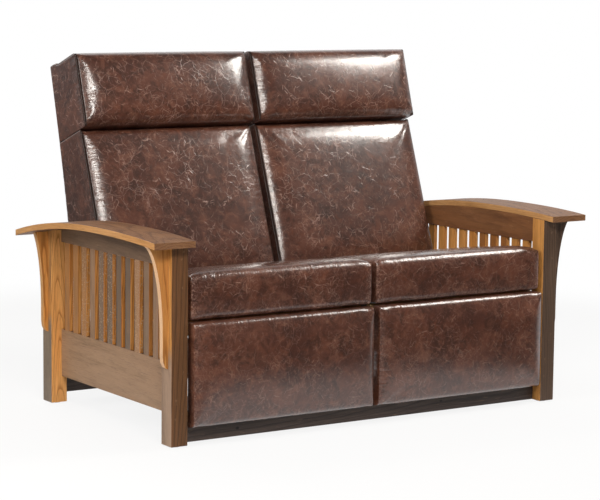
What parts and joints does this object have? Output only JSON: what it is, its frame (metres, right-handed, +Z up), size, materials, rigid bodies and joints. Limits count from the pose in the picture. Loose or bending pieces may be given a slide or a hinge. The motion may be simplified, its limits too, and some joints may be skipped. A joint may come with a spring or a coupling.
{
  "type": "reclining loveseat",
  "caption": "Bow-arm wooden loveseat with slatted sides and corbels, and padded leather seats that slide, recline and fold out footrests.",
  "frame": {"origin": "on the floor, at the middle of the width and of the depth", "axes": "+X to the right as seen from the front, +Y to the back, +Z up"},
  "size_m": [1.603, 0.9834, 1.1211],
  "materials": {
    "oak": "satin, brown stain",
    "dark_oak": "satin, dark brown stain",
    "leather": "glossy, distressed dark brown",
    "pine": "unfinished",
    "steel": "zinc plated",
    "nylon": "plain",
    "webbing": "woven"
  },
  "bodies": {
    "frame": {"front_left_leg": "oak", "front_right_leg": "oak", "rear_left_leg": "oak", "rear_right_leg": "oak", "left_side_rail": "oak", "right_side_rail": "oak", "left_arm_apron": "oak", "right_arm_apron": "oak", "left_slats": "oak", "right_slats": "oak", "left_arm_top": "oak", "right_arm_top": "oak", "front_left_corbel": "oak", "front_right_corbel": "oak", "rear_left_corbel": "oak", "rear_right_corbel": "oak", "front_rail": "dark_oak", "cross_rail": "pine", "rear_rail": "dark_oak", "floor_glides": "nylon", "left_tracks": "steel", "right_tracks": "steel"},
    "left_seat": {"left_seat_cushion": "leather", "left_seat_cross_rails": "pine", "left_seat_side_rails": "pine", "left_seat_webbing": "webbing", "left_side_plates": "steel", "left_glide_blocks": "nylon"},
    "left_back": {"left_back_cushion": "leather", "left_headrest_cushion": "leather", "left_back_posts": "pine", "left_back_rails": "pine", "left_outside_back": "leather", "left_back_sides": "leather", "left_back_brackets": "steel"},
    "left_lift": {"left_lift_links": "steel", "left_torque_tube": "steel"},
    "left_carry": {"left_carry_links": "steel"},
    "left_footrest": {"left_footrest_cushion": "leather", "left_footrest_board": "pine", "left_footrest_brackets": "steel"},
    "right_seat": {"right_seat_cushion": "leather", "right_seat_cross_rails": "pine", "right_seat_side_rails": "pine", "right_seat_webbing": "webbing", "right_side_plates": "steel", "right_glide_blocks": "nylon"},
    "right_back": {"right_back_cushion": "leather", "right_headrest_cushion": "leather", "right_back_posts": "pine", "right_back_rails": "pine", "right_outside_back": "leather", "right_back_sides": "leather", "right_back_brackets": "steel"},
    "right_lift": {"right_lift_links": "steel", "right_torque_tube": "steel"},
    "right_carry": {"right_carry_links": "steel"},
    "right_footrest": {"right_footrest_cushion": "leather", "right_footrest_board": "pine", "right_footrest_brackets": "steel"}
  },
  "joints": [
    {"name": "left_seat_slide", "type": "slide", "parent": "frame", "child": "left_seat", "axis": [0, -1, 0], "range_m": [0, 0.1]},
    {"name": "left_back_recline", "type": "hinge", "parent": "left_seat", "child": "left_back", "pos_m": [-0.333, 0.1462, 0.38455], "axis": [-1, 0, 0], "range_deg": [0, 32]},
    {"name": "left_footrest_lift", "type": "hinge", "parent": "left_seat", "child": "left_lift", "pos_m": [-0.333, -0.30873, 0.285], "axis": [-1, 0, 0], "range_deg": [0, 114.49]},
    {"name": "left_footrest_unfold", "type": "hinge", "parent": "left_lift", "child": "left_carry", "pos_m": [-0.333, -0.23083, 0.1339], "axis": [-1, 0, 0], "range_deg": [-116.57, 0]},
    {"name": "left_footrest_turn", "type": "hinge", "parent": "left_carry", "child": "left_footrest", "pos_m": [-0.333, -0.39473, 0.23], "axis": [-1, 0, 0], "range_deg": [0, 92.07]},
    {"name": "right_seat_slide", "type": "slide", "parent": "frame", "child": "right_seat", "axis": [0, -1, 0], "range_m": [0, 0.1]},
    {"name": "right_back_recline", "type": "hinge", "parent": "right_seat", "child": "right_back", "pos_m": [0.333, 0.1462, 0.38455], "axis": [-1, 0, 0], "range_deg": [0, 32]},
    {"name": "right_footrest_lift", "type": "hinge", "parent": "right_seat", "child": "right_lift", "pos_m": [0.333, -0.30873, 0.285], "axis": [-1, 0, 0], "range_deg": [0, 114.49]},
    {"name": "right_footrest_unfold", "type": "hinge", "parent": "right_lift", "child": "right_carry", "pos_m": [0.333, -0.23083, 0.1339], "axis": [-1, 0, 0], "range_deg": [-116.57, 0]},
    {"name": "right_footrest_turn", "type": "hinge", "parent": "right_carry", "child": "right_footrest", "pos_m": [0.333, -0.39473, 0.23], "axis": [-1, 0, 0], "range_deg": [0, 92.07]}
  ],
  "couplings": [
    {"joint": "left_back_recline", "follows": "left_seat_slide", "rad_per_m": 5.58},
    {"joint": "left_footrest_unfold", "follows": "left_footrest_lift", "ratio": -1.0177},
    {"joint": "left_footrest_turn", "follows": "left_footrest_lift", "ratio": 0.80375},
    {"joint": "right_back_recline", "follows": "right_seat_slide", "rad_per_m": 5.58},
    {"joint": "right_footrest_unfold", "follows": "right_footrest_lift", "ratio": -1.0177},
    {"joint": "right_footrest_turn", "follows": "right_footrest_lift", "ratio": 0.80375}
  ]
}
